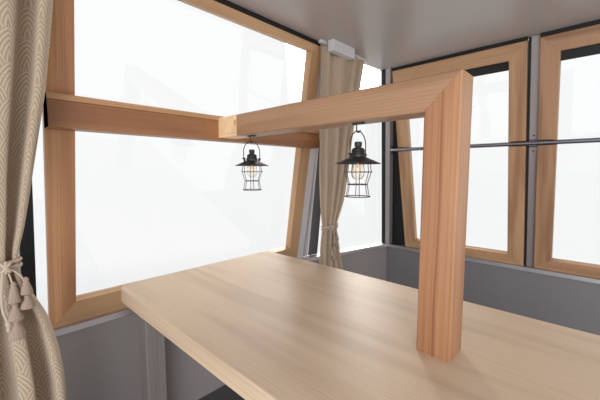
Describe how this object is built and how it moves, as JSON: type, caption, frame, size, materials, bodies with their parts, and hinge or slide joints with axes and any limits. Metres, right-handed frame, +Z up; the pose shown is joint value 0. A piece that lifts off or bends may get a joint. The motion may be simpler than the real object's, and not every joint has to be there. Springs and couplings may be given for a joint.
{
  "type": "cable car cabin window corner with dining table",
  "caption": "Window corner of a cable car cabin: leaning glazed walls lined with timber, dining table, post and beam with swinging lanterns, tied curtains.",
  "frame": {"origin": "middle of the floor's underside, at the centre of its length and width", "axes": "+X from the side wall into the cabin, +Y along the side wall to the end wall, +Z up"},
  "size_m": [2.2, 2.77, 2.195],
  "materials": {
    "chassis_paint": "satin",
    "deck_sheet": "matt",
    "wall_paint": "satin",
    "ledge_metal": "satin",
    "post_black": "satin",
    "post_grey": "satin",
    "window_glass": "clear",
    "ceiling_paint": "satin",
    "seal_rubber": "matt",
    "frame_timber": "oiled",
    "portal_timber": "oiled",
    "table_timber": "oiled",
    "rail_steel": "brushed",
    "lantern_black": "matt",
    "cage_wire": "matt",
    "bulb_glass": "clear",
    "white_plastic": "matt",
    "curtain_cloth": "woven",
    "tie_cloth": "woven"
  },
  "bodies": {
    "cabin": {"ceiling_box": "white_plastic", "ceiling_seal": "seal_rubber", "curtain_corner": "curtain_cloth", "curtain_front": "curtain_cloth", "curtain_track_corner": "white_plastic", "curtain_track_front": "white_plastic", "deck": "deck_sheet", "end_frame_1": "frame_timber", "end_frame_2": "frame_timber", "floor_panel": "chassis_paint", "gasket_corner": "seal_rubber", "gasket_end_middle": "seal_rubber", "gasket_end_open": "seal_rubber", "handrail": "rail_steel", "hook_far": "lantern_black", "hook_near": "lantern_black", "ledge_corner": "ledge_metal", "ledge_end": "ledge_metal", "ledge_side": "ledge_metal", "lower_wall_corner": "wall_paint", "lower_wall_end": "wall_paint", "lower_wall_side": "wall_paint", "pane_corner": "window_glass", "pane_end_far": "window_glass", "pane_end_near": "window_glass", "pane_side": "window_glass", "pane_side_open": "window_glass", "portal_beam": "portal_timber", "portal_end_block": "portal_timber", "portal_post": "portal_timber", "post_corner": "post_grey", "post_end_middle": "post_grey", "post_end_open": "post_grey", "post_side_front": "post_black", "post_side_open": "post_black", "post_side_rear": "post_grey", "roof_beams": "chassis_paint", "roof_panel": "ceiling_paint", "side_frame_head": "frame_timber", "side_frame_sill": "frame_timber", "side_frame_stile_front": "frame_timber", "side_frame_stile_rear": "frame_timber", "table_leg_free_front": "table_timber", "table_leg_free_rear": "table_timber", "table_leg_wall_front": "table_timber", "table_leg_wall_rear": "table_timber", "table_top": "table_timber", "tie_back_corner": "tie_cloth", "tie_back_front": "tie_cloth", "transom_fascia": "frame_timber", "transom_shelf": "frame_timber", "vent_bars": "seal_rubber"},
    "bail_far": {"lantern_far_bail": "lantern_black"},
    "lantern_far": {"lantern_far_hood": "lantern_black", "lantern_far_cage": "cage_wire", "lantern_far_bulb": "bulb_glass"},
    "bail_near": {"lantern_near_bail": "lantern_black"},
    "lantern_near": {"lantern_near_hood": "lantern_black", "lantern_near_cage": "cage_wire", "lantern_near_bulb": "bulb_glass"}
  },
  "joints": [
    {"name": "bail_far_swing", "type": "hinge", "parent": "cabin", "child": "bail_far", "pos_m": [-0.61021, -0.315, 1.4712], "axis": [1, 0, 0], "range_deg": [-20, 20]},
    {"name": "lantern_far_tilt", "type": "hinge", "parent": "bail_far", "child": "lantern_far", "pos_m": [-0.61021, -0.315, 1.3972], "axis": [0, 1, 0], "range_deg": [-35, 35]},
    {"name": "bail_near_swing", "type": "hinge", "parent": "cabin", "child": "bail_near", "pos_m": [-0.06521, -0.315, 1.4712], "axis": [1, 0, 0], "range_deg": [-20, 20]},
    {"name": "lantern_near_tilt", "type": "hinge", "parent": "bail_near", "child": "lantern_near", "pos_m": [-0.06521, -0.315, 1.3972], "axis": [0, 1, 0], "range_deg": [-35, 35]}
  ]
}
